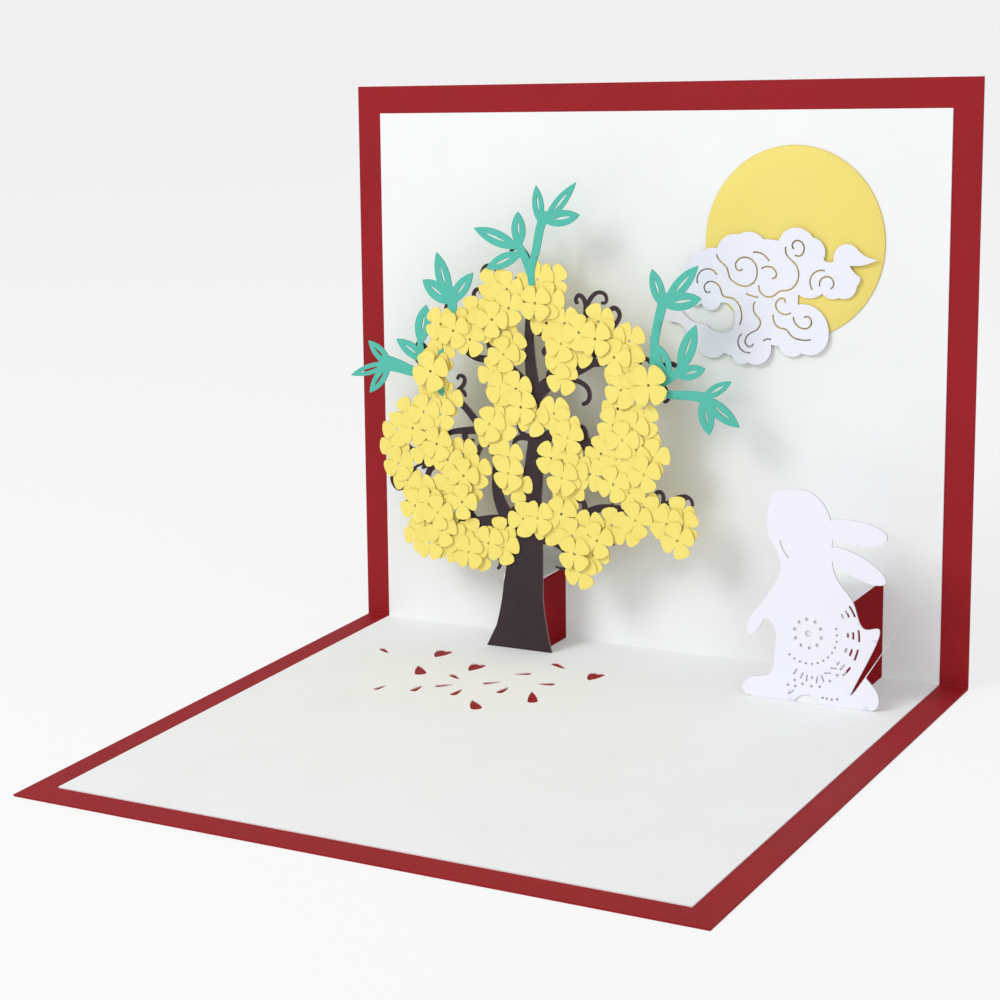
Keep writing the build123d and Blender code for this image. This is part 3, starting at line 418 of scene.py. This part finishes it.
# Each blossom: across and up in millimetres, and the way its first petal points in degrees.
blossoms = [
    # Crown
    (-38.6, 98.8, 40), (-38.4, 93.4, 15), (-34.2, 97.6, 10), (-29.3, 97.3, 0), (-33.6, 92.6, 30),
    (-25.0, 100.4, 25), (-20.8, 100.2, 45), (-21.6, 95.0, 10), (-25.4, 94.2, 40),
    # Upper left
    (-45.2, 90.6, 10), (-42.3, 87.6, 40), (-47.8, 87.0, 20), (-45.6, 83.8, 35), (-53.6, 83.3, 5),
    (-54.8, 87.6, 40), (-50.6, 86.0, 25), (-55.2, 79.0, 30), (-57.2, 76.6, 15), (-38.6, 89.4, 0),
    (-36.2, 86.0, 25), (-33.0, 82.0, 40), (-35.4, 80.2, 10), (-38.9, 74.9, 8), (-36.4, 71.0, 35),
    (-31.6, 71.2, 20), (-34.0, 67.2, 5), (-30.0, 66.4, 40),
    # Upper right
    (-22.6, 89.0, 15), (-17.0, 89.2, 40), (-17.8, 83.8, 20), (-13.0, 82.2, 40), (-12.4, 87.0, 5),
    (-7.0, 90.0, 25), (-3.8, 86.0, 10), (2.2, 85.4, 30), (-2.0, 81.0, 0), (2.4, 80.0, 40),
    (-0.4, 77.0, 15), (-17.8, 74.9, 32), (-18.0, 79.4, 5), (-7.4, 85.6, 40),
    # Right
    (0.1, 72.5, 20), (4.6, 73.0, 40), (-1.2, 67.6, 5), (-2.4, 63.2, 30),
    (3.4, 62.6, 15), (6.4, 65.0, 40), (0.6, 59.6, 5), (6.6, 59.0, 25), (9.4, 55.6, 10),
    (4.2, 54.0, 40), (7.0, 51.0, 20), (2.0, 50.0, 5), (-1.6, 54.4, 30), (-6.2, 55.4, 10),
    (-2.2, 47.6, 20), (2.3, 45.7, 0), (6.6, 42.4, 30), (9.6, 40.6, 15), (13.4, 38.4, 35),
    (16.4, 41.0, 5), (17.8, 38.2, 40), (16.6, 34.4, 20), (1.4, 36.0, 40), (-3.0, 36.6, 10),
    (4.4, 38.6, 20),
    # Middle
    (-26.6, 63.4, 20), (-20.2, 65.2, 42), (-17.0, 62.0, 10), (-16.4, 54.7, 8), (-15.8, 59.0, 30),
    (-21.0, 53.2, 40), (-9.4, 49.8, 38), (-14.6, 50.2, 5), (-15.9, 44.0, 12), (-17.4, 48.2, 35),
    (-21.9, 34.3, 20), (-29.6, 36.0, 5), (-25.0, 36.8, 40), (-18.0, 38.4, 30), (-14.6, 32.8, 10),
    (-9.6, 35.6, 38), (-6.9, 32.3, 20), (-8.4, 28.2, 5), (-12.1, 23.4, 28), (-13.6, 28.2, 40),
    (-38.8, 57.8, 12), (-34.4, 52.4, 30), (-31.8, 45.0, 8), (-34.0, 48.2, 38), (-35.6, 61.6, 35),
    (-39.8, 61.2, 15),
    # Left
    (-53.2, 67.0, 10), (-57.6, 70.2, 30), (-55.2, 63.0, 40), (-60.4, 63.4, 15), (-65.8, 62.4, 30),
    (-69.4, 58.0, 5), (-64.2, 58.6, 40), (-58.2, 56.6, 10), (-60.6, 52.9, 35), (-70.6, 53.0, 0),
    (-69.2, 48.4, 25), (-66.4, 44.0, 10), (-62.0, 41.6, 40), (-56.4, 54.8, 30), (-53.1, 50.6, 12),
    (-48.6, 52.4, 40), (-44.2, 48.0, 25), (-48.0, 46.6, 5), (-46.6, 43.6, 38), (-52.8, 45.4, 20),
    (-50.4, 40.8, 40), (-48.4, 39.4, 5), (-56.0, 41.0, 15), (-63.9, 37.0, 20), (-59.0, 38.0, 40),
    (-56.0, 35.8, 10), (-61.8, 32.8, 30), (-63.0, 29.0, 8), (-59.4, 27.0, 40), (-55.0, 31.2, 20),
    # Lower left
    (-52.2, 31.2, 5), (-53.6, 26.8, 30), (-49.2, 28.2, 15), (-46.6, 25.6, 40), (-43.8, 25.2, 28),
    (-45.2, 30.2, 10), (-40.4, 28.6, 38), (-35.8, 27.8, 15), (-37.0, 31.2, 5),
]


def layers(across, up, reach):
    """The layer of each blossom, counted from the boughs: the lowest one that no blossom
    overlapping it has taken, so that petals lie over each other and never cut through."""
    apart = np.hypot(across[:, None] - across, up[:, None] - up)
    touching = apart < 0.86 * (reach[:, None] + reach)
    layer = np.full(len(across), -1)
    for each in range(len(across)):
        taken = set(layer[touching[each]])
        layer[each] = min(set(range(len(across))) - taken)
    return layer


def blossom_mesh(name, across, up, turn, reach, lift):
    """Blossoms of four petals, all worked out together. Round a blossom, the outline stands at the
    notch between two petals and swells as a quarter circle to the full reach by half way to the
    petal's middle. Out from the eye, each petal lifts by the square of the share of the reach,
    most along its middle and nothing at the notches."""
    opening = (np.arange(6) / 5) ** 2
    from_axis = 45 * (1 - opening)
    petal = np.concatenate([-from_axis, from_axis[-2:0:-1]])
    way = (np.arange(4)[:, None] * 90 + petal).ravel()
    from_axis = np.tile(np.abs(petal), 4)
    petal_number = np.repeat(np.arange(4), len(petal))
    swell = np.clip((1 - from_axis / 45) / 0.5, 0, 1)
    outline = notch_share + (1 - notch_share) * np.sqrt(1 - (1 - swell) ** 2)
    share = np.array([0.0, 0.3, 0.6, 0.84, 1.0])
    chance = np.random.default_rng(7)
    cup = chance.uniform(-0.2, 1.0, (len(across), 4))[:, petal_number] * petal_cup
    tilt = chance.normal(0, 0.010, (2, len(across)))
    eye = blossom_eye / reach[:, None, None]
    out = eye + (outline - eye) * share[None, :, None]
    angle = np.radians(way + turn[:, None])[:, None, :]
    step_across = out * reach[:, None, None] * np.cos(angle)
    step_up = out * reach[:, None, None] * np.sin(angle)
    rise = cup[:, None, :] * share[None, :, None] ** 2 * (1 - (from_axis / 45) ** 2)
    rise = rise + tilt[0][:, None, None] * step_across + tilt[1][:, None, None] * step_up
    at_across = across[:, None, None] + step_across
    at_up = up[:, None, None] + step_up
    front_lift = lift[:, None, None] + rise + crown_sway(at_across, at_up)
    front = tree_plane.place(at_across, at_up, front_lift + blossom_paper)
    back = tree_plane.place(at_across, at_up, front_lift)
    points = np.stack([front, back], 1)
    rings, ways = len(share), len(way)
    index = np.arange(rings * ways).reshape(rings, ways)
    after = np.roll(index, -1, 1)
    face = np.stack([index[:-1], index[1:], after[1:], after[:-1]], -1).reshape(-1, 4)
    under = rings * ways
    rim = np.stack([index[-1], index[-1] + under, after[-1] + under, after[-1]], -1)
    hole = np.stack([index[0], after[0], after[0] + under, index[0] + under], -1)
    quads = np.concatenate([face, face[:, ::-1] + under, rim, hole])
    edge = np.concatenate([np.zeros(2 * len(face)), np.ones(len(rim) + len(hole))])
    quads = quads + 2 * under * np.arange(len(across))[:, None, None]
    return quad_mesh(name, points.reshape(-1, 3), quads.reshape(-1, 4), np.tile(edge, len(across)))


spots = np.array(blossoms, float)
spot_across, spot_up, spot_turn = spots[:, 0] * MM, spots[:, 1] * MM, spots[:, 2]
spot_reach = np.full(len(spots), blossom_reach)
spot_layer = layers(spot_across, spot_up, spot_reach)
spot_lift = tree_plane.thickness + blossom_step * spot_layer
new_piece(
    "blossom_sheet",
    blossom_mesh("blossom_sheet", spot_across, spot_up, spot_turn, spot_reach, spot_lift),
    blossom_yellow,
    ["blossom_lattice"],
)
top_lift = tree_plane.thickness + blossom_step * (spot_layer.max() + 1)


def sprig_lift(across, up):
    """A sprig follows the crown's bend, up being measured from the sprig's own lowest point."""
    return crown_sway(across, up + sprig_foot)


for name in ("sprig_top", "sprig_upper_left", "sprig_left", "sprig_right"):
    plane = Standing(name)
    sprig_foot = plane.foot - tree_plane.foot
    new_piece(
        name + "_leaves",
        reworked(name + "_leaves", name, plane, 2 * MM, sprig_lift),
        sprig_green,
        [name],
    )

for name, turn in (("flower_left", 20), ("flower_right", 50)):
    low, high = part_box(name)
    middle = (np.array(low) + np.array(high)) / 2
    across, up, _ = tree_plane.measure(middle)
    new_piece(
        name + "_petals",
        blossom_mesh(
            name + "_petals",
            np.array([across]),
            np.array([up]),
            np.array([float(turn)]),
            np.array([flower_reach_share * blossom_reach]),
            np.array([top_lift + flower_gap]),
        ),
        blossom_yellow,
        [name],
    )


# ---------------------------------------------------------------------------------------------
# Rabbit


def rabbit_lift(across, up):
    """Flat on its step, and above it the head and the ears lean back as a gentle curve."""
    return -rabbit_lean * smooth_step((up - 26 * MM) / (40 * MM))


new_piece(
    "rabbit_sheet",
    reworked("rabbit_sheet", "rabbit", rabbit_plane, 2 * MM, rabbit_lift),
    rabbit_white,
    ["rabbit"],
)


# ---------------------------------------------------------------------------------------------
# Floor, light and camera

floor_mesh = bpy.data.meshes.new("floor")
floor_half = 9.0
floor_mesh.from_pydata(
    [(-floor_half, -floor_half, 0), (floor_half, -floor_half, 0), (floor_half, floor_half, 0),
     (-floor_half, floor_half, 0)], [], [(0, 1, 2, 3)]
)
floor = bpy.data.objects.new("floor", floor_mesh)
bpy.context.scene.collection.objects.link(floor)

floor_paint = Paint("floor_white")
ray = floor_paint.node("ShaderNodeLightPath", output="Is Camera Ray")
diffuse = floor_paint.node("ShaderNodeBsdfDiffuse", None, {"Color": (0.86, 0.86, 0.86, 1)})
glow = floor_paint.node("ShaderNodeEmission", None, {"Color": (1, 1, 1, 1), "Strength": 1.0})
blended = floor_paint.node("ShaderNodeMixShader", None, {0: ray * 0.72, 1: diffuse, 2: glow})
floor_paint.node("ShaderNodeOutputMaterial", None, {"Surface": blended})
floor_mesh.materials.append(floor_paint.material)

scene = bpy.context.scene
world = bpy.data.worlds.new("studio")
scene.world = world
world.use_nodes = True
world_tree = world.node_tree
world_tree.nodes.clear()
sky = world_tree.nodes.new("ShaderNodeBackground")
sky.inputs["Color"].default_value = (1, 1, 1, 1)
sky.inputs["Strength"].default_value = 0.62
backdrop = world_tree.nodes.new("ShaderNodeBackground")
backdrop.inputs["Color"].default_value = (1, 1, 1, 1)
backdrop.inputs["Strength"].default_value = 1.0
seen = world_tree.nodes.new("ShaderNodeLightPath")
choice = world_tree.nodes.new("ShaderNodeMixShader")
shown = world_tree.nodes.new("ShaderNodeOutputWorld")
world_tree.links.new(seen.outputs["Is Camera Ray"], choice.inputs[0])
world_tree.links.new(sky.outputs[0], choice.inputs[1])
world_tree.links.new(backdrop.outputs[0], choice.inputs[2])
world_tree.links.new(choice.outputs[0], shown.inputs["Surface"])


def panel(name, place, target, size, power, tint=(1, 1, 1)):
    """A square soft light that faces its target."""
    light = bpy.data.lights.new(name, "AREA")
    light.shape = "SQUARE"
    light.size = size
    light.energy = power
    light.color = tint
    lamp = bpy.data.objects.new(name, light)
    scene.collection.objects.link(lamp)
    away = np.array(place, float) - np.array(target, float)
    away /= np.linalg.norm(away)
    side = np.cross([0, 0, 1.0], away)
    side /= np.linalg.norm(side)
    over = np.cross(away, side)
    turn = Matrix(np.column_stack([side, over, away]).tolist()).to_4x4()
    lamp.matrix_world = Matrix.Translation(place) @ turn
    return lamp


panel("key", (-0.55, -0.75, 0.85), (0, 0, 0.06), 0.5, 6.0)
panel("fill", (0.9, -0.9, 0.5), (0, 0, 0.06), 0.9, 2.2)

camera_place = (0.26644, -0.44230, 0.19047)
camera_turn = math.radians(31.25)     # to the right of straight ahead
camera_drop = math.radians(14.30)     # below level
camera_roll = math.radians(-3.29)
camera_lens = 80.5

ahead = np.array(
    [
        -math.sin(camera_turn) * math.cos(camera_drop),
        math.cos(camera_turn) * math.cos(camera_drop),
        -math.sin(camera_drop),
    ]
)
level = np.array([math.cos(camera_turn), math.sin(camera_turn), 0])
above = np.cross(level, ahead)
right = math.cos(camera_roll) * level + math.sin(camera_roll) * above
upward = -math.sin(camera_roll) * level + math.cos(camera_roll) * above
lens = bpy.data.cameras.new("camera")
lens.lens = camera_lens
lens.sensor_width = 36
lens.clip_start = 0.01
lens.clip_end = 50
camera = bpy.data.objects.new("camera", lens)
scene.collection.objects.link(camera)
camera.matrix_world = (
    Matrix.Translation(camera_place)
    @ Matrix(np.column_stack([right, upward, -ahead]).tolist()).to_4x4()
)
scene.camera = camera
scene.view_settings.view_transform = "Standard"
